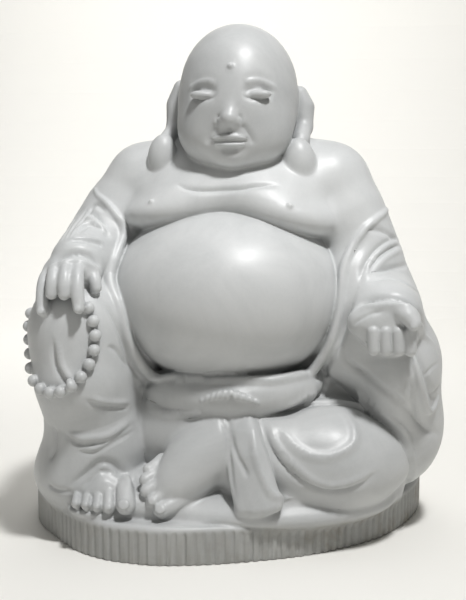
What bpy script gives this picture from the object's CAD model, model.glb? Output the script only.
import math

import bmesh
import bpy
import numpy as np
from mathutils import Matrix, Vector


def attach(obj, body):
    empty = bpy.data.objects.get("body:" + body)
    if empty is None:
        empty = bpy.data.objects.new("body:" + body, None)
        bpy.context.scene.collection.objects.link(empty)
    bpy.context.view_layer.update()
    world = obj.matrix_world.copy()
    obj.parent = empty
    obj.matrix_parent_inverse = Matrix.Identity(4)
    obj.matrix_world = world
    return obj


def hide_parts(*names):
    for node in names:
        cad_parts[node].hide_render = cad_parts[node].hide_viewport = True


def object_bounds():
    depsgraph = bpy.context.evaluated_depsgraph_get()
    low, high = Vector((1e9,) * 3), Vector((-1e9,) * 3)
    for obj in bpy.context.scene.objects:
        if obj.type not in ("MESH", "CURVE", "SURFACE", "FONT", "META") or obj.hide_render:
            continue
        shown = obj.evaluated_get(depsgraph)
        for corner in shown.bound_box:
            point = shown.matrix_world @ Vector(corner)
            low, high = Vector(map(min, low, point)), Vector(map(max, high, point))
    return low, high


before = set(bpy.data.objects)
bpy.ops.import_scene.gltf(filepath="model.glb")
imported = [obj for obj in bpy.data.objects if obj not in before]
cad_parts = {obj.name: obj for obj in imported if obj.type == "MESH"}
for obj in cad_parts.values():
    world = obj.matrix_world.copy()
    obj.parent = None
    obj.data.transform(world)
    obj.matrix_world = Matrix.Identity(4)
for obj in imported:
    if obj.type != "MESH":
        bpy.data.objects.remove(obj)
CAD_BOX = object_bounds()
NODE = "seated_figure"

bl_info = {
    "name": "Seated stone figure",
    "version": (1, 0, 0),
    "blender": (4, 5, 0),
    "location": "3D View > Sidebar > Stone figure",
    "description": "Carved seated figure on a fluted base, with its studio",
    "category": "Object",
}

MM = 0.001
MIDDLE = 17
BASE_HEIGHT = 80
FLUTES = 129
BEADS = 23
STRANDS = 11
# Gap, in millimetres, that counts as far from the stone
FAR = 60.0
# Farthest that a corner is moved in one round, and the most triangles the stone may have
REACH = 15
MOST_TRIANGLES = 192000
# Middle of the bead loop as x and z, and the turns between which the hand hides it, in degrees
LOOP_MIDDLE = (-332, 452)
HAND_TURNS = (128, 238)
# Roll of the lapel: shares of its length, and its thickness there
LAPEL_SHARES = [0, 0.1, 0.25, 0.4, 0.5, 0.6, 0.7, 0.8, 0.93, 1]
LAPEL_THICKNESS = [0.15, 0.45, 0.9, 1, 1, 1, 1, 0.8, 0.6, 0.2]

# Plan of the base from above, and the lines and masses of the carving, all in millimetres
BASE_PLAN = [
    (-100, -338), (17, -312), (164, -252), (254, -190), (335, -110), (394, 0), (426, 120),
    (420, 225), (360, 300), (230, 340), (0, 350), (-230, 340), (-380, 275), (-448, 150),
    (-459, 10), (-426, -110), (-350, -215), (-283, -285), (-215, -322), (-160, -334),
]
LAPEL = [
    (-306, -60, 754), (-289, -80, 738), (-273, -92, 728), (-260, -101, 718), (-235, -112, 691),
    (-222, -116, 672), (-219, -125, 651), (-226, -140, 630), (-236, -158, 602), (-237, -178, 574),
    (-232, -195, 546), (-223, -208, 512), (-210, -216, 478), (-196, -216, 444), (-184, -208, 415),
    (-167, -200, 388), (-152, -192, 369), (-133, -190, 355), (-95, -188, 345), (-23, -214, 358),
    (35, -220, 362), (106, -208, 357), (144, -185, 358), (165, -165, 361), (189, -150, 376),
    (214, -148, 404), (235, -152, 444), (246, -154, 495), (250, -144, 542), (251, -134, 575),
    (258, -122, 608), (273, -106, 640), (297, -94, 671), (326, -68, 694), (345, -38, 706),
    (354, -8, 712),
]
# Hanging loop of cloth under the right hand
CLOTH_LOOP = [
    (398, -192, 419), (403, -192, 396), (409, -188, 367), (418, -176, 335), (427, -152, 305),
    (439, -128, 287), (452, -112, 292), (461, -102, 312),
]
# Chisel lines in the cloth and skin: width, depth, height of the fold beside it, distance to that
# fold's crest, side it lies on, and the points the line runs through. A negative depth is a ridge.
LINES = [
    (5, 5, 0, 12, 1, [
        (-303, -99, 703), (-298, -95, 713), (-288, -94, 718), (-275, -101, 710), (-264, -107, 700),
    ]),
    (6, 8, 4, 10, -1, [
        (-302, -102, 700), (-284, -117, 692), (-270, -128, 681), (-259, -138, 669), (-252, -146, 658),
        (-247, -152, 649),
    ]),
    (6, 8, 5, 10, 1, [
        (-302, -198, 664), (-301, -171, 671), (-294, -155, 675), (-283, -148, 675), (-267, -149, 668),
        (-258, -153, 659), (-249, -155, 649),
    ]),
    (5, 6, 3, 9, 1, [
        (-308, -228, 651), (-298, -223, 653), (-284, -216, 651), (-270, -204, 646), (-258, -191, 639),
        (-252, -185, 632),
    ]),
    (8, 9, 7, 11, -1, [
        (-356, -251, 596), (-335, -256, 610), (-311, -252, 621), (-296, -248, 623), (-281, -243, 621),
        (-266, -236, 615), (-250, -225, 601), (-247, -216, 590),
    ]),
    (3, 4, 0, 12, 1, [(-293, -92, 718), (-312, -132, 683), (-309, -226, 653)]),
    (3, 4, 0, 12, 1, [(-306, -88, 715), (-325, -124, 683), (-320, -225, 653)]),
    (3, 4, 0, 12, 1, [(-319, -80, 711), (-345, -94, 681), (-332, -221, 652)]),
    (6, 8, 0, 12, 1, [(300, -97, 665), (326, -83, 667), (349, -64, 659), (362, -48, 651), (374, -18, 640)]),
    (5, 7, 4, 8, 1, [
        (376, -22, 652), (358, -60, 648), (335, -89, 638), (316, -107, 623), (301, -123, 604),
        (292, -136, 584), (286, -150, 562),
    ]),
    (6, 8, 3, 9, 1, [(378, -30, 634), (358, -72, 630), (333, -101, 617), (315, -120, 599), (299, -140, 578)]),
    (5, 6, 0, 12, 1, [(298, -140, 577), (340, -111, 587), (380, -69, 591), (398, -30, 594)]),
    (5, 6, 0, 12, 1, [
        (310, -156, 562), (347, -144, 571), (373, -140, 565), (399, -130, 550), (418, -90, 530),
    ]),
    (9, 10, 8, 14, -1, [
        (280, -200, 516), (301, -198, 526), (332, -213, 535), (354, -216, 537), (377, -215, 531),
        (393, -212, 520), (409, -199, 500), (435, -124, 452), (453, -118, 418),
    ]),
    (8, 8, 0, 16, -1, [
        (256, -169, 441), (261, -170, 403), (286, -169, 377), (314, -182, 361), (352, -198, 338),
        (380, -187, 313), (401, -156, 283), (428, -111, 246), (458, -48, 219),
    ]),
    (6, 7, 0, 12, 1, [(388, -203, 375), (396, -196, 343), (400, -179, 312), (410, -145, 277)]),
    (7, 8, 0, 12, 1, [(407, -183, 424), (421, -184, 383), (437, -157, 336), (450, -105, 306)]),
    (3, 3, 0, 12, 1, [(425, -180, 372), (437, -165, 388), (455, -129, 392)]),
    (3, 4, 0, 12, 1, [(442, -139, 324), (450, -127, 333), (460, -99, 340)]),
    (3, 3, 0, 12, 1, [(275, -214, 479), (292, -230, 498), (313, -231, 509), (336, -230, 513)]),
    (6, 8, 5, 10, 1, [(-329, -291, 447), (-321, -287, 405), (-306, -283, 374), (-287, -282, 351)]),
    (5, 6, 0, 12, 1, [(-224, -262, 434), (-211, -248, 424), (-200, -231, 398), (-191, -215, 381)]),
    (5, 7, 4, 9, 1, [(-265, -280, 333), (-242, -273, 319), (-214, -257, 307), (-186, -225, 298)]),
    (6, 9, 5, 11, 1, [
        (-318, -280, 247), (-301, -284, 236), (-279, -280, 228), (-253, -286, 229), (-230, -278, 231),
        (-210, -266, 237), (-190, -246, 248), (-177, -222, 259),
    ]),
    (4, 4, 3, 8, 1, [(-289, -287, 214), (-251, -277, 211), (-209, -267, 228), (-173, -221, 248)]),
    (5, 6, 0, 12, 1, [(-346, -263, 258), (-344, -267, 234), (-351, -265, 207), (-364, -258, 188)]),
    (5, 6, 0, 12, 1, [(-363, -259, 136), (-350, -266, 128), (-331, -273, 123), (-298, -281, 128)]),
    (8, 9, 7, 13, -1, [
        (-311, -281, 134), (-273, -288, 165), (-248, -284, 184), (-232, -277, 191), (-211, -271, 188),
        (-197, -259, 177), (-187, -244, 161), (-169, -258, 144), (-157, -278, 134),
    ]),
    (11, 12, 0, 12, 1, [
        (-296, -283, 128), (-272, -286, 150), (-250, -284, 170), (-232, -277, 177), (-212, -271, 174),
        (-199, -259, 163), (-190, -244, 148),
    ]),
    (8, -5, 0, 12, 1, [
        (246, -171, 297), (267, -191, 283), (283, -216, 260), (281, -234, 242), (265, -248, 229),
        (228, -262, 217), (190, -263, 221), (157, -254, 239), (132, -231, 263),
    ]),
    (6, 8, 6, 11, 1, [
        (98, -226, 267), (112, -253, 234), (135, -266, 206), (157, -269, 186), (188, -268, 164),
        (215, -264, 151), (245, -259, 147), (290, -248, 159), (325, -229, 180),
    ]),
    (6, 8, 4, 12, 1, [
        (94, -208, 298), (132, -186, 303), (173, -169, 304), (251, -148, 302), (302, -141, 289),
        (348, -152, 260), (377, -142, 219), (387, -128, 173), (381, 8, 81),
    ]),
    (5, 6, 0, 12, 1, [
        (4, -238, 288), (19, -252, 267), (26, -261, 241), (31, -270, 208), (37, -284, 169),
        (48, -296, 131),
    ]),
    (5, 9, 0, 12, 1, [
        (8, -234, 293), (23, -241, 283), (30, -254, 260), (38, -263, 234), (55, -277, 206),
        (66, -283, 186), (69, -286, 175),
    ]),
    (7, -7, 0, 12, 1, [
        (78, -261, 266), (81, -273, 247), (86, -287, 224), (96, -295, 196), (115, -302, 158),
        (128, -284, 129), (134, -267, 109),
    ]),
    (5, 5, 0, 12, 1, [
        (-106, -171, 788), (-81, -182, 775), (-49, -185, 764), (-22, -184, 760), (11, -181, 760),
        (35, -178, 762), (58, -174, 766), (92, -170, 776), (124, -168, 782),
    ]),
    (5, 6, 0, 12, 1, [
        (-244, -239, 535), (-222, -243, 502), (-204, -237, 458), (-193, -219, 396), (-178, -186, 362),
        (-150, -164, 332), (-113, -188, 346), (-45, -205, 362), (40, -220, 366), (96, -205, 366),
    ]),
    (6, 7, 0, 12, 1, [
        (283, -157, 550), (270, -166, 520), (258, -167, 476), (250, -166, 448), (235, -164, 416),
        (218, -141, 379), (199, -106, 341), (172, -139, 326), (131, -177, 314),
    ]),
    (4, 5, 0, 12, 1, [
        (-92, -322, 80), (-40, -312, 80), (6, -300, 80), (60, -284, 80), (110, -266, 80), (176, -236, 82),
    ]),
    (7, -5, 0, 12, 1, [
        (-168, -184, 306), (-143, -206, 292), (-107, -224, 284), (-67, -232, 286), (-36, -230, 295),
        (-27, -225, 303),
    ]),
]
# Lines of the plain back of the robe
BACK_LINES = [
    (7, 8, 9, 12, -1, [(-310, 60, 690), (-180, 190, 640), (0, 250, 612), (180, 195, 640), (312, 60, 680)]),
    (8, 7, 5, 16, 1, [(-250, 220, 520), (-140, 300, 400), (0, 340, 320), (120, 335, 270)]),
    (8, 7, 5, 16, -1, [(262, 215, 500), (160, 290, 390), (40, 335, 300)]),
    (8, 6, 4, 16, 1, [(-330, 170, 380), (-220, 270, 250), (-80, 320, 190), (60, 330, 170)]),
    (7, 6, 4, 14, -1, [(350, 150, 330), (260, 250, 220), (150, 300, 160)]),
]
FACE_LINES = [
    (17, 5, 0, 12, 1, [(-62, -130, 948), (-33, -150, 953), (-4, -160, 950)]),
    (5, -5, 0, 12, 1, [(-68, -125, 957), (-50, -140, 969), (-30, -152, 973), (-10, -158, 966)]),
    (2.6, 4.5, 0, 12, 1, [
        (-62, -133, 944), (-48, -148, 937), (-33, -155, 934), (-18, -158, 936), (-6, -158, 942),
    ]),
    (2.2, 2.5, 0, 12, 1, [(-60, -133, 950), (-45, -148, 958), (-30, -155, 960), (-10, -160, 953)]),
    (6, 2.6, 0, 12, 1, [(-2, -176, 893), (-14, -170, 876), (-26, -162, 858), (-28, -160, 846)]),
    (3, 3, 0, 12, 1, [(-2, -175, 905), (-5, -173, 896), (-3, -176, 888)]),
]
FACE_MIDDLE_LINES = [
    (2.6, 5, 0, 12, 1, [
        (-24, -164, 855), (-8, -172, 852), (17, -178, 852), (42, -172, 852), (58, -164, 855),
    ]),
    (6, 3.5, 0, 12, 1, [(-2, -170, 834), (17, -173, 832), (36, -170, 834)]),
    (4, 2, 0, 12, 1, [(17, -178, 880), (17, -180, 866)]),
]


def turn_matrix(degrees):
    """Matrix that turns about X, then Y, then Z."""
    x, y, z = (math.radians(v) for v in degrees)
    about_x, about_y, about_z = (Matrix.Rotation(a, 3, n) for a, n in ((x, "X"), (y, "Y"), (z, "Z")))
    return about_z @ about_y @ about_x


def smooth_union(a, b, width):
    """Smaller of two gaps, rounded where they are within the width of each other."""
    near = np.maximum(width - np.abs(a - b), 0) / width
    return np.minimum(a, b) - near * near * width / 4


class Ball:
    """Ellipsoid with a centre, three half sizes and a turn."""

    def __init__(self, centre, half, turn=(0, 0, 0), blend=20):
        self.centre, self.half, self.blend = np.array(centre, float), np.array(half, float), blend
        self.turn = np.array(turn_matrix(turn))
        reach = np.sqrt(((self.turn * self.half) ** 2).sum(1))
        self.low, self.high = self.centre - reach, self.centre + reach

    def gap(self, points):
        local = (points - self.centre) @ self.turn
        near = np.linalg.norm(local / self.half, axis=1)
        slope = np.linalg.norm(local / self.half ** 2, axis=1)
        return near * (near - 1) / np.maximum(slope, 1e-9)

    def build(self, shape):
        place = Matrix.Translation(Vector(self.centre)) @ Matrix(self.turn.tolist()).to_4x4()
        place = place @ Matrix.Diagonal((*self.half, 1))
        fine = 4 if self.half.max() > 60 else 2
        bmesh.ops.create_icosphere(shape, subdivisions=fine, radius=1, matrix=place)


class Limb:
    """Round-ended taper along points of x, y, z, radius."""

    def __init__(self, *path, blend=20, smooth=0):
        path = np.array(path, float)
        self.path, self.blend = spline(path, smooth) if smooth else path, blend
        most = self.path[:, 3].max()
        self.low, self.high = self.path[:, :3].min(0) - most, self.path[:, :3].max(0) + most

    def gap(self, points):
        least = np.full(len(points), 1e9)
        for a, b in zip(self.path[:-1], self.path[1:]):
            along, grow = b[:3] - a[:3], b[3] - a[3]
            square = max(along @ along, 1e-9)
            offset = points - a[:3]
            foot = (offset @ along) / square
            side = np.linalg.norm(offset - foot[:, None] * along, axis=1)
            shift = side * grow / math.sqrt(max(square - grow * grow, 1e-6) * square)
            share = np.clip(foot + shift, 0, 1)
            value = np.linalg.norm(offset - share[:, None] * along, axis=1) - (a[3] + share * grow)
            least = np.minimum(least, value)
        return least

    def build(self, shape):
        for x, y, z, r in self.path:
            fine = 3 if r > 40 else 2
            place = Matrix.Translation((x, y, z))
            bmesh.ops.create_icosphere(shape, subdivisions=fine, radius=r, matrix=place)
        for a, b in zip(self.path[:-1], self.path[1:]):
            along = Vector(b[:3] - a[:3])
            if along.length < 1:
                continue
            turn = along.to_track_quat("Z", "Y").to_matrix().to_4x4()
            place = Matrix.Translation(Vector((a[:3] + b[:3]) / 2)) @ turn
            bmesh.ops.create_cone(
                shape, cap_ends=True, segments=32, radius1=a[3], radius2=b[3],
                depth=along.length, matrix=place,
            )


def solids_of(parts):
    """The single solids of parts and of the groups in them."""
    for part in parts:
        if isinstance(part, Group):
            yield from solids_of(part.parts)
        else:
            yield part


class Group:
    """Masses that blend into each other, and then into the rest."""

    def __init__(self, *parts, blend=20):
        self.parts, self.blend = parts, blend
        self.low = np.min([p.low for p in parts], 0)
        self.high = np.max([p.high for p in parts], 0)

    def gap(self, points):
        return blended(self.parts, points)


class Base:
    """Low base with a rounded top edge, fluted from the front left to the right."""

    blend = 14

    def __init__(self, depth):
        self.depth = depth
        outline = spline(np.array(BASE_PLAN + BASE_PLAN[:3], float), 12)[12:-12]
        angle = np.arctan2(outline[:, 1], outline[:, 0])
        order = np.argsort(angle)
        self.outline = outline[order]
        self.angle, self.radius = angle[order], np.hypot(*outline[order].T)
        steps = np.hypot(*np.diff(self.outline, axis=0).T)
        whole = steps.sum() + np.hypot(*(self.outline[0] - self.outline[-1]))
        self.arc = np.concatenate([[0], np.cumsum(steps)]) / whole
        self.low, self.high = np.array((-475, -345, 0.0)), np.array((445, 355, BASE_HEIGHT + 1.0))

    def gap(self, points):
        x, y, z = points.T
        angle = np.arctan2(y, x)
        radius = np.interp(angle, self.angle, self.radius, period=2 * math.pi)
        turn = (np.interp(angle, self.angle, self.arc, period=2 * math.pi) * FLUTES) % 1
        rough = 1 + 0.15 * np.sin(angle * 37) + 0.12 * np.sin(angle * 91 + 1)
        groove = np.clip(1 - np.abs(turn - 0.5) / 0.24, 0, 1) * 1.4 * self.depth * rough
        groove *= np.clip((BASE_HEIGHT - 9 - z) / 10, 0, 1)
        groove *= np.clip((x + 400) / 30, 0, 1) * np.clip((180 - y) / 40, 0, 1)
        side = (np.hypot(x, y) - radius + groove) * 0.95
        edge = 14
        a, b = side + edge, z - BASE_HEIGHT + edge
        corner = np.hypot(np.maximum(a, 0), np.maximum(b, 0))
        return np.maximum(np.minimum(np.maximum(a, b), 0) + corner - edge, -z)

    def build(self, shape):
        made = bmesh.ops.create_circle(shape, cap_ends=True, segments=len(self.outline), radius=1)
        ring = sorted(made["verts"], key=lambda v: math.atan2(v.co.y, v.co.x))
        for corner, (x, y) in zip(ring, self.outline):
            corner.co = (x, y, 0)
        faces = list({face for corner in ring for face in corner.link_faces})
        raised = bmesh.ops.extrude_face_region(shape, geom=faces, use_keep_orig=True)["geom"]
        up = [item for item in raised if isinstance(item, bmesh.types.BMVert)]
        bmesh.ops.translate(shape, verts=up, vec=(0, 0, BASE_HEIGHT))


def spline(points, steps):
    """Points of a smooth curve through the given ones."""
    ends = np.vstack([2 * points[0] - points[1], points, 2 * points[-1] - points[-2]])
    out = []
    for p0, p1, p2, p3 in zip(ends, ends[1:], ends[2:], ends[3:]):
        for t in np.arange(steps) / steps:
            out.append(0.5 * (2 * p1 + (p2 - p0) * t + (2 * p0 - 5 * p1 + 4 * p2 - p3) * t * t
                              + (3 * p1 - p0 - 3 * p2 + p3) * t ** 3))
    return np.array(out + [points[-1]])


def blended(parts, points):
    """Gap to all the parts together, each looked at only near its own box."""
    gap = np.full(len(points), FAR)
    for part in parts:
        pad = part.blend + 12
        near = np.all((points > part.low - pad) & (points < part.high + pad), axis=1)
        if near.any():
            gap[near] = smooth_union(gap[near], part.gap(points[near]), part.blend)
    return gap


def slope(gap, points, step=0.8):
    """Unit direction in which the gap grows, and the way along it to the surface."""
    out, total = np.zeros_like(points), np.zeros(len(points))
    for corner in ((1, -1, -1), (-1, -1, 1), (-1, 1, -1), (1, 1, 1)):
        corner = np.array(corner, float)
        value = gap(points + corner * step)
        out += corner * value[:, None]
        total += value
    length = np.maximum(np.linalg.norm(out, axis=1), 1e-9)
    return out / length[:, None], total / 4 / np.maximum(length / (4 * step), 0.7)


def onto(gap, points, rounds=4):
    """Nearest places on the surface."""
    points = np.array(points, float)
    for _ in range(rounds):
        up, away = slope(gap, points)
        points = points - up * np.clip(away, -REACH, REACH)[:, None]
    return points


def from_front(gap, xz, start=-420):
    """First places of the surface that are met from the front."""
    points = np.array([(x, start, z) for x, z in xz], float)
    for _ in range(90):
        value = gap(points)
        going = (value > 0.4) & (points[:, 1] < 0)
        if not going.any():
            break
        points[going, 1] += np.maximum(value[going] * 0.8, 0.4)
    missed = points[:, 1] > -20
    if missed.any():
        points[missed, 1] = -170
        points[missed] = onto(gap, points[missed])
    return points


class Line:
    """Chisel line along the surface with a fold beside it, fading to both ends."""

    def __init__(self, gap, width, depth, rise, crest, side, points):
        path = onto(gap, spline(np.array(points, float), 4), 3)
        for _ in range(2):
            path[1:-1] = (path[:-2] + 2 * path[1:-1] + path[2:]) / 4
        self.path = onto(gap, path, 2)
        self.width, self.crest, self.side = width, crest, side
        self.depth = float(np.clip(1.4 * depth, -1.15 * width, 1.15 * width))
        self.rise = min(1.3 * rise, 0.55 * crest)
        reach = max(3 * width, 3 * crest if rise else 0) + 4
        self.low, self.high = self.path.min(0) - reach, self.path.max(0) + reach
        share = np.linspace(0, 1, len(self.path))
        self.fade = np.clip(np.minimum(share, 1 - share) / 0.2, 0.05, 1) ** 0.7
        normal = slope(gap, self.path)[0]
        for _ in range(3):
            normal[1:-1] = (normal[:-2] + 2 * normal[1:-1] + normal[2:]) / 4
        self.normal = normal / np.maximum(np.linalg.norm(normal, axis=1), 1e-9)[:, None]

    def press(self, points, gap):
        near = np.flatnonzero(np.all((points > self.low) & (points < self.high), axis=1) & (np.abs(gap) < 30))
        if not len(near):
            return
        spots = points[near]
        least, side, fade = np.full(len(near), 1e9), np.zeros(len(near)), np.zeros(len(near))
        flat = np.full(len(near), 1e9)
        for i in range(len(self.path) - 1):
            a, b = self.path[i], self.path[i + 1]
            along = b - a
            share = np.clip(((spots - a) @ along) / max(along @ along, 1e-9), 0, 1)
            offset = spots - a - share[:, None] * along
            away = np.linalg.norm(offset, axis=1)
            closer = away < least
            least[closer] = away[closer]
            normal = self.normal[i]
            level = offset[closer] - (offset[closer] @ normal)[:, None] * normal
            flat[closer] = np.linalg.norm(level, axis=1)
            side[closer] = np.sign(offset @ np.cross(self.normal[i], along))[closer]
            fade[closer] = (self.fade[i] * (1 - share) + self.fade[i + 1] * share)[closer]
        cut = self.depth * np.clip(1 - flat / (2.3 * self.width), 0, 1) ** 1.7
        if self.rise:
            cut -= self.rise * np.exp(-(((flat * side * self.side - self.crest) / (self.crest * 0.75)) ** 2))
        gap[near] += cut * fade * np.clip(2 - least / 20, 0, 1)


def mirrored(points):
    """The points on the other side of the face."""
    return [(2 * MIDDLE - p[0], *p[1:]) for p in points]


def digit(*path, blend=4):
    """Finger or toe along its joints."""
    return Limb(*path, blend=blend, smooth=3)


def masses(depth):
    """The masses of the carving, from the back to the hands."""
    back = Group(
        Ball((0, 85, 500), (325, 205, 290)), Ball((0, 75, 220), (395, 255, 200), blend=120),
        Ball((-20, -68, 235), (230, 150, 124), blend=60), Ball((0, -20, 470), (272, 190, 130), blend=40),
        Ball((5, 75, 690), (262, 150, 130), blend=70), blend=60,
    )
    torso = Group(
        Ball((8, 8, 752), (208, 150, 104)),
        Limb((-80, 15, 802, 74), (-197, 8, 761, 85), blend=60),
        Limb((90, 15, 802, 74), (210, 6, 759, 88), blend=60),
        Limb((-197, 15, 763, 85), (-246, -10, 690, 86), (-283, -50, 625, 82), blend=30),
        Limb((210, 12, 760, 88), (247, -5, 690, 87), (286, -15, 600, 84), blend=30),
        Ball((8, -62, 750), (190, 106, 56), (15, 0, 0), blend=36),
        Ball((-108, -92, 710), (113, 88, 46), (0, -10, 0), blend=40),
        Ball((120, -92, 704), (115, 88, 48), (0, 15, 0), blend=40),
        Limb((14, -14, 790, 104), (16, -12, 880, 92), blend=24), blend=16,
    )
    belly = Ball((-3, -62, 524), (259, 236, 198), blend=6)
    raised_arm = Group(
        Limb((-248, -10, 690, 88), (-281, -55, 634, 81), (-296, -125, 610, 71), (-304, -190, 600, 57),
             smooth=4),
        Limb((-262, -60, 600, 70), (-270, -60, 420, 105), blend=50),
        Limb((-232, -120, 585, 26), (-226, -170, 520, 34), (-216, -180, 440, 44), (-196, -150, 370, 50),
             blend=30),
    )
    bent_arm = Group(
        Limb((246, -5, 690, 89), (284, -15, 600, 87), (322, -40, 510, 90), (343, -130, 495, 76),
             (352, -170, 492, 64), smooth=4),
        Ball((368, -66, 375), (95, 140, 125), blend=30), Ball((361, 10, 232), (113, 150, 142), blend=60),
        Limb((270, -80, 560, 60), (265, -90, 420, 80), blend=50),
    )
    raised_leg = Group(
        Ball((-303, -170, 460), (104, 118, 118)),
        Limb((-300, -172, 440, 108), (-292, -206, 352, 104), (-283, -172, 285, 104),
             (-275, -156, 200, 114), blend=40),
        Ball((-312, -60, 130), (122, 205, 95), blend=60),
        Limb((-290, -120, 430, 100), (-160, 60, 270, 150), blend=60), blend=12,
    )
    folded_leg = Group(
        Ball((213, -95, 190), (190, 166, 120), (0, 6, 0)),
        Limb((230, -140, 170, 100), (60, -190, 180, 80), blend=60),
        Limb((60, -190, 262, 34), (110, -203, 235, 44), (150, -200, 205, 50), blend=30),
        Limb((110, -225, 105, 48), (200, -165, 105, 58), (270, -112, 105, 58), (332, -35, 105, 58),
             blend=24), blend=12,
    )
    skirt = Group(Ball((20, -60, 85), (352, 238, 64)), Ball((-150, -120, 100), (170, 180, 70), blend=30),
                  Ball((-238, -256, 87), (76, 48, 14), blend=10), blend=12)
    calf = Limb((11, -185, 226, 78), (-43, -220, 190, 68), (-76, -246, 156, 53), (-96, -258, 140, 40),
                blend=14, smooth=5)
    foot = Group(
        Limb((-245, -190, 200, 55), (-245, -222, 140, 50)),
        Ball((-243, -232, 136), (69, 54, 34), (24, 0, 0), blend=26), blend=10,
    )
    cloth_end = Group(
        Limb((14, -198, 289, 12), (24, -232, 251, 13), (36, -256, 212, 14), (44, -272, 166, 15),
             (60, -288, 112, 16)),
        Limb((30, -204, 290, 13), (41, -242, 252, 14), (54, -264, 213, 15), (66, -277, 167, 16),
             (84, -292, 114, 17), blend=14),
        Limb((46, -206, 291, 14), (59, -246, 254, 15), (73, -267, 215, 16), (88, -280, 170, 17),
             (106, -294, 118, 17), blend=14),
        Limb((60, -206, 291, 15), (76, -246, 256, 16), (92, -266, 217, 17), (108, -280, 171, 17),
             (126, -290, 124, 16), blend=14), blend=6,
    )
    sash = Limb((-128, -160, 326, 36), (-45, -196, 322, 40), (40, -206, 322, 41), (122, -182, 330, 38),
                (168, -142, 336, 32), (202, -92, 342, 24), blend=16, smooth=3)
    return [back, torso, raised_arm, bent_arm, raised_leg, folded_leg, belly, sash, calf, cloth_end,
            foot, skirt, sash_knot(), head(), ears(), *feet(), *hands(), Base(depth)]


def sash_knot():
    """Short twisted rope laid on the sash."""
    strands = []
    for share in np.linspace(0, 1, STRANDS):
        x, bow = -30 + 112 * share, math.sin(math.pi * share)
        lean = 32 if x < 35 else -32
        strands.append(Ball((x, -236 - 12 * bow, 322 + 15 * bow), (6, 9, 8 + 5 * bow), (0, lean, 0), blend=1))
    return Group(*strands, blend=2)


def head():
    """Skull, cheeks, chin and nose."""
    cheek = [((MIDDLE - 55, -98, 868), (60, 54, 56)), ((MIDDLE + 55, -98, 868), (60, 54, 56))]
    nose = Group(
        Limb((MIDDLE, -150, 955, 8), (MIDDLE, -168, 920, 12), (MIDDLE, -180, 897, 17), smooth=3),
        Ball((MIDDLE - 17, -170, 891), (12, 14, 11), blend=6),
        Ball((MIDDLE + 17, -170, 891), (12, 14, 11), blend=6),
        blend=12,
    )
    return Group(
        Ball((MIDDLE, -28, 962), (127, 138, 142)), Ball((MIDDLE, -62, 900), (116, 112, 98), blend=50),
        Ball((MIDDLE, -112, 846), (66, 56, 50), blend=36), *(Ball(*c, blend=36) for c in cheek),
        Ball((MIDDLE, -142, 822), (34, 24, 22), blend=16), nose, blend=8,
    )


def face_details(gap):
    """Lids and lips, laid on the head."""
    parts = []
    for side in (lambda p: p, mirrored):
        lid = side([(-33, -150, 945)])[0]
        parts.append(Ball(onto(gap, [lid])[0] + (0, 6, 0), (31, 16, 14), (0, 0, 0), blend=5))
    upper = onto(gap, [(-22, -164, 857), (-4, -172, 859), (11, -177, 861), (17, -178, 860), (23, -177, 861),
                       (38, -172, 859), (56, -164, 857)])
    lower = onto(gap, [(-12, -168, 846), (4, -175, 843), (17, -176, 842), (30, -175, 843), (46, -168, 846)])
    parts.append(Limb(*[(*p, r) for p, r in zip(upper, (2, 5, 6, 6, 6, 5, 2))], blend=4, smooth=3))
    parts.append(Limb(*[(*p, r) for p, r in zip(lower, (3, 6, 7, 6, 3))], blend=4, smooth=3))
    dot = onto(gap, [(MIDDLE, -150, 1000)])[0]
    parts.append(Ball(dot, (6, 5, 6), blend=3))
    return Group(*parts, blend=4)


def ears():
    """Ears with their long lobes."""
    return Group(
        Limb((-116, 6, 972, 18), (-126, 10, 935, 25), (-129, 0, 885, 20)),
        Ball((-145, -72, 822), (31, 30, 48), (0, 8, 0), blend=16),
        Limb((-128, 0, 885, 18), (-141, -44, 858, 17), blend=10),
        Limb((145, 8, 956, 19), (154, 10, 928, 25), (156, 0, 885, 20)),
        Ball((152, -76, 808), (37, 33, 52), (0, -6, 0), blend=16),
        Limb((156, 0, 885, 18), (154, -46, 856, 19), blend=10), blend=6,
    )


def feet():
    """Toes and their nails, of the flat foot on the left and the folded one beside it."""
    left = [
        digit((-196, -240, 146, 20), (-183, -286, 125, 19), (-179, -302, 112, 20), blend=3),
        digit((-226, -244, 146, 13), (-217, -290, 119, 12), (-214, -302, 106, 13), blend=2),
        digit((-251, -242, 144, 12), (-241, -286, 118, 11), (-239, -299, 106, 12), blend=2),
        digit((-275, -240, 141, 12), (-266, -282, 118, 10.5), (-264, -295, 107, 11.5), blend=2),
        digit((-296, -236, 136, 11), (-289, -276, 117, 10), (-287, -289, 107, 11), blend=2),
    ]
    right = [
        digit((-66, -268, 124, 19), (-86, -287, 113, 18), (-105, -298, 105, 18), blend=4),
        digit((-84, -262, 148, 15), (-106, -284, 134, 13.5), (-123, -294, 121, 15.5), blend=2),
        digit((-100, -252, 164, 15), (-123, -275, 150, 13.5), (-138, -286, 139, 15), blend=2),
        digit((-110, -240, 178, 14), (-131, -263, 166, 13), (-144, -273, 158, 14.5), blend=2),
        digit((-118, -228, 191, 13), (-132, -247, 181, 12), (-140, -257, 175, 13.5), blend=2),
    ]
    return [Group(*left, *map(nail, left), blend=3), Group(*right, *map(nail, right[:2]), blend=4)]


def nail(toe):
    x, y, z, r = toe.path[-1]
    return Ball((x, y - r + 1.5, z + r * 0.35), (r * 0.66, 3.5, r * 0.6), (-30, 0, 0), blend=1)


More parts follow.
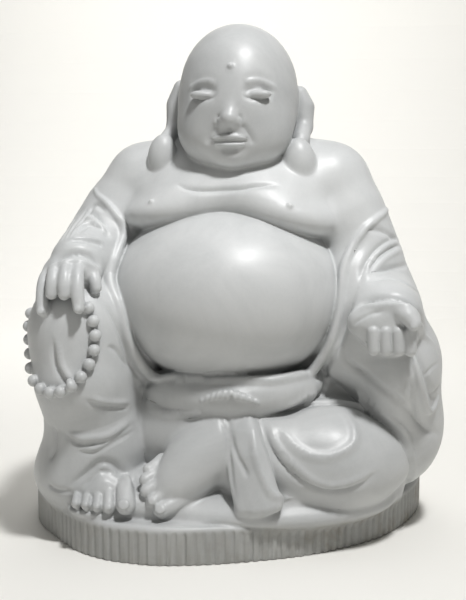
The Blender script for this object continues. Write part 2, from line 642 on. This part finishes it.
def hands():
    """Open hand over the bead loop, and the fist at the other side."""
    fingers = [
        digit((-354, -214, 594, 9), (-358, -250, 570, 12), (-358, -266, 540, 13), (-356, -276, 508, 12),
              blend=8),
        digit((-338, -224, 602, 9), (-333, -262, 586, 13), (-331, -279, 566, 14), (-332, -284, 544, 13),
              blend=8),
        digit((-312, -228, 606, 9), (-306, -270, 588, 13), (-304, -287, 566, 14), (-303, -292, 544, 13),
              blend=8),
        digit((-286, -228, 602, 9), (-280, -272, 584, 13), (-276, -292, 552, 14), (-271, -301, 517, 12),
              blend=8),
        digit((-268, -218, 595, 15), (-255, -240, 568, 14), (-250, -246, 552, 12), blend=6),
    ]
    nails = [Ball((x, y - 11, z + 2), (8, 3.5, 9), (-14, 0, 0), blend=1)
             for x, y, z in ((-356, -276, 506), (-271, -301, 515), (396, -240, 486))]
    bars = [Limb((x, -228, 471, 13), (x + 1, -226, 434, 13), blend=1.5) for x in (317, 341, 366, 390)]
    fist = Group(
        Ball((350, -186, 456), (58, 44, 40)), Ball((322, -188, 488), (60, 46, 42), (0, -10, 0), blend=18),
        Limb((351, -204, 513, 19), (378, -229, 508, 18), (396, -238, 491, 15), blend=3, smooth=3),
        *bars, nails[2], blend=6,
    )
    return [Group(Ball((-308, -214, 582), (61, 52, 42), blend=10), *fingers, *nails[:2], blend=8), fist]


def bead_loop(gap, size, wide, high):
    """Beads laid over the knee; the hand covers the top of the loop."""
    places = []
    for i in range(BEADS):
        turn = 2 * math.pi * i / BEADS
        if not math.radians(HAND_TURNS[0]) < turn < math.radians(HAND_TURNS[1]):
            x, z = LOOP_MIDDLE
            places.append((x + wide / 2 * math.sin(turn), z - high / 2 * math.cos(turn)))
    spots = from_front(gap, places)
    beads = [Ball(p + (0, -size * 0.3, 0), (size / 2,) * 3, blend=0.5) for p in spots]
    tassel = from_front(gap, [(-297, 352)])[0]
    beads.append(Ball(tassel, (10, 10, 10), blend=1))
    return Group(*beads, blend=1)


def carving(settings):
    """Everything that is carved, as a function that gives the gap between a point and the stone."""
    parts = masses(settings.flute_depth / MM)

    def body(points):
        return blended(parts, points)

    beads = bead_loop(body, settings.bead_size / MM, settings.loop_width / MM, settings.loop_height / MM)
    roll = onto(body, LAPEL)
    thick = np.interp(np.linspace(0, 1, len(roll)), LAPEL_SHARES, LAPEL_THICKNESS)
    thick *= settings.lapel_size / MM / 2
    lapel = Limb(*[(*p, r) for p, r in zip(roll, thick)], blend=8, smooth=2)
    edge = onto(body, CLOTH_LOOP)
    loop = Limb(*[(*p, r) for p, r in zip(edge, (5, 8, 9, 9, 9, 8, 7, 5))], blend=4, smooth=3)
    tips = from_front(body, [(-151, 726), (142, 719)])
    nipples = Group(*[Ball(tip, (6, 4, 6), blend=4) for tip in tips], blend=4)
    parts[-1:-1] = [lapel, loop, face_details(body), beads, nipples]
    marks = [Line(body, *line) for line in LINES + BACK_LINES + FACE_MIDDLE_LINES]
    for width, depth, rise, crest, side, points in FACE_LINES:
        marks.append(Line(body, width, depth, rise, crest, side, points))
        marks.append(Line(body, width, depth, rise, crest, side, mirrored(points)))

    def gap(points):
        value = blended(parts, points)
        for mark in marks:
            mark.press(points, value)
        return value

    return parts, gap


def rough_out(parts, voxel):
    """The masses as simple shapes, made one closed skin."""
    whole = bmesh.new()
    single = bpy.data.meshes.new("single")
    for part in solids_of(parts):
        shape = bmesh.new()
        part.build(shape)
        shape.to_mesh(single)
        shape.free()
        whole.from_mesh(single)
    bpy.data.meshes.remove(single)
    bmesh.ops.scale(whole, verts=whole.verts, vec=(MM, MM, MM))
    mesh = bpy.data.meshes.new("carved_stone")
    whole.to_mesh(mesh)
    whole.free()
    stone = bpy.data.objects.new("carved_stone", mesh)
    bpy.context.scene.collection.objects.link(stone)
    remesh = stone.modifiers.new("skin", "REMESH")
    remesh.mode = "VOXEL"
    remesh.voxel_size = voxel
    bake(stone)
    return stone


def bake(stone):
    """Leaves the mesh as its modifiers show it."""
    graph = bpy.context.evaluated_depsgraph_get()
    mesh = bpy.data.meshes.new_from_object(stone.evaluated_get(graph))
    old = stone.data
    stone.modifiers.clear()
    stone.data = mesh
    mesh.name = "carved_stone"
    bpy.data.meshes.remove(old)


def settle(stone, gap, rounds):
    """Moves every corner onto the carving, keeping the corners evenly spread."""
    mesh = stone.data
    count = len(mesh.vertices)
    flat = np.empty(count * 3)
    mesh.vertices.foreach_get("co", flat)
    points = flat.reshape(-1, 3) / MM
    edges = np.empty(len(mesh.edges) * 2, int)
    mesh.edges.foreach_get("vertices", edges)
    a, b = edges.reshape(-1, 2).T
    links = np.maximum(np.bincount(a, minlength=count) + np.bincount(b, minlength=count), 1)
    for turn in range(rounds):
        up, away = slope(gap, points)
        points = points - up * np.clip(away, -REACH, REACH)[:, None]
        if turn < rounds - 2:
            total = [np.bincount(a, points[b, i], count) + np.bincount(b, points[a, i], count)
                     for i in range(3)]
            drift = np.stack(total, 1) / links[:, None] - points
            points = points + 0.6 * (drift - up * (drift * up).sum(1, keepdims=True))
    low, high = (np.array(corner) / MM for corner in CAD_BOX)
    points = np.clip(points, low + 0.05, high - 0.05)
    mesh.vertices.foreach_set("co", (points * MM).ravel())
    mesh.update()


class StoneSettings(bpy.types.PropertyGroup):
    bead_size: bpy.props.FloatProperty(
        name="Bead size", description="Diameter of a bead of the loop", default=0.0255, unit="LENGTH")
    loop_width: bpy.props.FloatProperty(
        name="Loop width", description="Width of the bead loop", default=0.18, unit="LENGTH")
    loop_height: bpy.props.FloatProperty(
        name="Loop height", description="Height of the bead loop", default=0.216, unit="LENGTH")
    lapel_size: bpy.props.FloatProperty(
        name="Lapel roll", description="Thickness of the rolled edge of the robe", default=0.024,
        unit="LENGTH")
    flute_depth: bpy.props.FloatProperty(
        name="Flute depth", description="Depth of the flutes of the rim", default=0.0055, unit="LENGTH")
    detail: bpy.props.FloatProperty(
        name="Detail", description="Spacing of the mesh", default=0.0034, unit="LENGTH")
    stone_colour: bpy.props.FloatVectorProperty(
        name="Stone", description="Colour of the clean stone", default=(0.615, 0.625, 0.625), subtype="COLOR",
        min=0, max=1)
    vein_colour: bpy.props.FloatVectorProperty(
        name="Veins", description="Colour of the darker clouds of the stone", default=(0.43, 0.445, 0.45),
        subtype="COLOR", min=0, max=1)
    stain_colour: bpy.props.FloatVectorProperty(
        name="Stains", description="Colour of the stains on the base", default=(0.40, 0.37, 0.31),
        subtype="COLOR", min=0, max=1)
    polish: bpy.props.FloatProperty(
        name="Polish", description="Roughness of the polished skin", default=0.4, subtype="FACTOR",
        min=0, max=1)


class StudioSettings(bpy.types.PropertyGroup):
    distance: bpy.props.FloatProperty(
        name="Distance", description="Camera to the middle of the base", default=2.4, unit="LENGTH")
    height: bpy.props.FloatProperty(
        name="Height", description="Height of the camera", default=0.8, unit="LENGTH")
    azimuth: bpy.props.FloatProperty(
        name="Azimuth", description="Turn of the camera to the viewer's right", default=math.radians(8),
        subtype="ANGLE")
    pitch: bpy.props.FloatProperty(
        name="Pitch", description="Downward tilt of the camera", default=math.radians(7.1), subtype="ANGLE")
    lens: bpy.props.FloatProperty(
        name="Lens", description="Focal length on a 36 mm sensor", default=64.38, unit="CAMERA")
    floor_colour: bpy.props.FloatVectorProperty(
        name="Floor", description="Colour of the floor and backdrop", default=(0.85, 0.838, 0.80),
        subtype="COLOR", min=0, max=1)


class Nodes:
    """Short ways to build a node material."""

    def __init__(self, name):
        self.material = bpy.data.materials.new(name)
        self.material.use_nodes = True
        self.tree = self.material.node_tree
        self.shader = self.tree.nodes["Principled BSDF"]

    def add(self, kind, **values):
        node = self.tree.nodes.new(kind)
        for key, value in values.items():
            setattr(node, key, value)
        return node

    def link(self, out, into):
        self.tree.links.new(out, into)

    def noise(self, vector, scale, detail=4, rough=0.55, distortion=0):
        node = self.add("ShaderNodeTexNoise")
        node.inputs["Scale"].default_value = scale
        node.inputs["Detail"].default_value = detail
        node.inputs["Roughness"].default_value = rough
        node.inputs["Distortion"].default_value = distortion
        self.link(vector, node.inputs["Vector"])
        return node.outputs["Fac"]

    def ramp(self, factor, low, high, first=(0, 0, 0), last=(1, 1, 1)):
        node = self.add("ShaderNodeValToRGB")
        for stop, at, colour in zip(node.color_ramp.elements, (low, high), (first, last)):
            stop.position, stop.color = at, (*colour, 1)
        self.link(factor, node.inputs["Fac"])
        return node.outputs["Color"]

    def maths(self, operation, a, b=None, clamp=False):
        node = self.add("ShaderNodeMath", operation=operation, use_clamp=clamp)
        for socket, value in zip(node.inputs, (a, b)):
            if value is None:
                continue
            if isinstance(value, (int, float)):
                socket.default_value = value
            else:
                self.link(value, socket)
        return node.outputs[0]

    def mix(self, factor, a, b, blend="MIX"):
        node = self.add("ShaderNodeMix", data_type="RGBA", blend_type=blend)
        for name, value in (("Factor", factor), ("A", a), ("B", b)):
            socket = next(s for s in node.inputs if s.name == name and s.enabled)
            if isinstance(value, (int, float)):
                socket.default_value = value
            elif isinstance(value, tuple):
                socket.default_value = (*value, 1)
            else:
                self.link(value, socket)
        return next(s for s in node.outputs if s.enabled)


def marble(settings):
    """Pale grey marble: soft clouds, polished high places, dust in the cuts, stains on the rim."""
    n = Nodes("pale_marble")
    where = n.add("ShaderNodeTexCoord").outputs["Object"]
    split = n.add("ShaderNodeSeparateXYZ")
    n.link(where, split.inputs["Vector"])
    height = split.outputs["Z"]
    clouds = n.ramp(n.noise(where, 6, 6, 0.6, 0.8), 0.38, 0.68)
    grain = n.ramp(n.noise(where, 140, 3, 0.6), 0.35, 0.7)
    flecks = n.ramp(n.noise(where, 420, 2, 0.6), 0.62, 0.74)
    cloudy = n.maths("MULTIPLY", clouds, 0.45)
    colour = n.mix(cloudy, tuple(settings.stone_colour), tuple(settings.vein_colour))
    colour = n.mix(n.maths("MULTIPLY", grain, 0.10), colour, (0.72, 0.72, 0.71))
    colour = n.mix(n.maths("MULTIPLY", flecks, 0.18), colour, (0.36, 0.37, 0.37))
    cavity = n.add("ShaderNodeAmbientOcclusion", samples=8, only_local=True)
    cavity.inputs["Distance"].default_value = 0.03
    shade = n.ramp(cavity.outputs["AO"], 0.25, 0.85, (1, 1, 1), (0, 0, 0))
    colour = n.mix(n.maths("MULTIPLY", shade, 0.6), colour, (0.30, 0.31, 0.315))
    low = n.ramp(height, 0.064, 0.078, (1, 1, 1), (0, 0, 0))
    right = n.ramp(split.outputs["X"], 0.05, 0.40)
    patch = n.ramp(n.noise(where, 14, 5, 0.65, 0.4), 0.46, 0.66)
    more_right = n.maths("ADD", n.maths("MULTIPLY", right, 0.6), 0.25)
    stain = n.maths("MULTIPLY", n.maths("MULTIPLY", low, patch), more_right)
    colour = n.mix(stain, colour, tuple(settings.stain_colour))
    colour = n.mix(n.maths("MULTIPLY", low, 0.8), colour, n.mix(1.0, colour, (0.68, 0.67, 0.64), "MULTIPLY"))
    foot_tone = n.ramp(height, 0.33, 0.62, (0.84, 0.84, 0.84), (1, 1, 1))
    head_tone = n.ramp(height, 0.80, 0.90, (1, 1, 1), (0.82, 0.82, 0.82))
    colour = n.mix(1.0, n.mix(1.0, colour, foot_tone, "MULTIPLY"), head_tone, "MULTIPLY")
    n.link(colour, n.shader.inputs["Base Color"])
    rough = n.maths("ADD", n.maths("MULTIPLY", n.noise(where, 22, 4, 0.6), 0.22), settings.polish - 0.09)
    rough = n.maths("ADD", rough, n.maths("MULTIPLY", low, 0.25))
    rough = n.maths("ADD", rough, n.maths("MULTIPLY", shade, 0.2), clamp=True)
    n.link(rough, n.shader.inputs["Roughness"])
    n.shader.inputs["IOR"].default_value = 1.5
    n.shader.inputs["Specular IOR Level"].default_value = 0.5
    tool = n.add("ShaderNodeBump")
    tool.inputs["Strength"].default_value = 0.175
    tool.inputs["Distance"].default_value = 0.0012
    fine = n.maths("MULTIPLY", n.noise(where, 260, 3, 0.6), 0.35)
    rough_height = n.maths("ADD", n.noise(where, 55, 5, 0.6), fine)
    n.link(rough_height, tool.inputs["Height"])
    n.link(tool.outputs["Normal"], n.shader.inputs["Normal"])
    return n.material


def paper(name, colour):
    """Dull backdrop paper."""
    n = Nodes(name)
    where = n.add("ShaderNodeTexCoord").outputs["Object"]
    tint = n.mix(n.maths("MULTIPLY", n.noise(where, 3, 2), 0.03), tuple(colour), (0.8, 0.78, 0.74))
    n.link(tint, n.shader.inputs["Base Color"])
    n.shader.inputs["Roughness"].default_value = 0.9
    return n.material


def backdrop(scene, settings):
    """Floor that curves up into a wall behind the stone."""
    left, front, wide, bend = -9, -7, 18, 2.5
    shape = bmesh.new()
    corners = [shape.verts.new((left, front, 0))]
    curve = [(3 + bend * math.sin(a), bend - bend * math.cos(a)) for a in np.linspace(0, math.pi / 2, 17)]
    corners += [shape.verts.new((left, y, z)) for y, z in [*curve, (3 + bend, 9)]]
    edges = [shape.edges.new(pair) for pair in zip(corners, corners[1:])]
    made = bmesh.ops.extrude_edge_only(shape, edges=edges)["geom"]
    moved = [v for v in made if isinstance(v, bmesh.types.BMVert)]
    bmesh.ops.translate(shape, verts=moved, vec=(wide, 0, 0))
    bmesh.ops.recalc_face_normals(shape, faces=shape.faces)
    mesh = bpy.data.meshes.new("floor")
    shape.to_mesh(mesh)
    shape.free()
    floor = bpy.data.objects.new("floor", mesh)
    floor.location.z = -0.0005
    scene.collection.objects.link(floor)
    mesh.materials.append(paper("floor_paper", settings.floor_colour))


def lamp(scene, name, place, aim, size, power):
    """Square lamp at a place, turned to what it aims at."""
    data = bpy.data.lights.new(name, "AREA")
    data.size, data.energy = size, power
    light = bpy.data.objects.new(name, data)
    light.location = place
    light.rotation_euler = (Vector(aim) - Vector(place)).to_track_quat("-Z", "Y").to_euler()
    scene.collection.objects.link(light)


def camera(scene, settings):
    """Camera on a circle about the base, tilted down."""
    data = bpy.data.cameras.new("camera")
    data.lens = settings.lens
    data.sensor_width = 36
    data.sensor_fit = "AUTO"
    eye = bpy.data.objects.new("camera", data)
    turn, away = settings.azimuth, settings.distance
    eye.location = (math.sin(turn) * away, -math.cos(turn) * away, settings.height)
    eye.rotation_euler = (math.pi / 2 - settings.pitch, 0, turn)
    scene.collection.objects.link(eye)
    scene.camera = eye


class STONE_OT_carve(bpy.types.Operator):
    """Carves the seated figure with its base as one stone"""

    bl_idname = "stone.carve"
    bl_label = "Carve the figure"

    def execute(self, context):
        settings = context.scene.stone_settings
        parts, gap = carving(settings)
        stone = rough_out(parts, settings.detail * (1))
        settle(stone, gap, 5)
        faces = sum(len(face.vertices) - 2 for face in stone.data.polygons)
        if faces > MOST_TRIANGLES:
            thin = stone.modifiers.new("thin", "DECIMATE")
            thin.ratio = MOST_TRIANGLES / faces
            bake(stone)
            settle(stone, gap, 1)
        for face in stone.data.polygons:
            face.use_smooth = True
        stone.data.materials.clear()
        stone.data.materials.append(marble(settings))
        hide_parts(NODE)
        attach(stone, "root")
        print("stone triangles", faces, "kept", len(stone.data.polygons))
        return {"FINISHED"}


class STONE_OT_studio(bpy.types.Operator):
    """Sets the floor, the lights and the camera"""

    bl_idname = "stone.studio"
    bl_label = "Set up the studio"

    def execute(self, context):
        settings = context.scene.studio_settings
        scene = context.scene
        backdrop(scene, settings)
        for name, place, aim, size, power in (
            ("key", (1.15, -1.75, 4.4), (0, 0, 0.5), 0.45, 174),
            ("fill", (-2.6, -1.8, 1.4), (0, 0, 0.5), 2.0, 5),
            ("top", (-0.3, 0.2, 3.6), (0, 0, 0.5), 2.0, 14),
            ("backdrop_light", (-1.0, 2.2, 3.6), (-1.0, 5.5, 1.2), 3.0, 122),
        ):
            lamp(scene, name, place, aim, size, power)
        world = bpy.data.worlds.new("room")
        world.use_nodes = True
        air = world.node_tree.nodes["Background"]
        air.inputs["Color"].default_value = (0.95, 0.94, 0.90, 1)
        air.inputs["Strength"].default_value = 0.17
        scene.world = world
        camera(scene, settings)
        scene.view_settings.view_transform = "Standard"
        return {"FINISHED"}


class STONE_PT_panel(bpy.types.Panel):
    bl_idname = "STONE_PT_panel"
    bl_label = "Stone figure"
    bl_space_type = "VIEW_3D"
    bl_region_type = "UI"
    bl_category = "Stone figure"

    def draw(self, context):
        for name, operator in (("stone_settings", "stone.carve"), ("studio_settings", "stone.studio")):
            settings = getattr(context.scene, name)
            for key in settings.__annotations__:
                self.layout.prop(settings, key)
            self.layout.operator(operator)


CLASSES = (StoneSettings, StudioSettings, STONE_OT_carve, STONE_OT_studio, STONE_PT_panel)


def register():
    for item in CLASSES:
        bpy.utils.register_class(item)
    bpy.types.Scene.stone_settings = bpy.props.PointerProperty(type=StoneSettings)
    bpy.types.Scene.studio_settings = bpy.props.PointerProperty(type=StudioSettings)


def unregister():
    del bpy.types.Scene.stone_settings
    del bpy.types.Scene.studio_settings
    for item in reversed(CLASSES):
        bpy.utils.unregister_class(item)


def main():
    register()
    bpy.ops.stone.carve()
    bpy.ops.stone.studio()


if __name__ == "__main__":
    main()
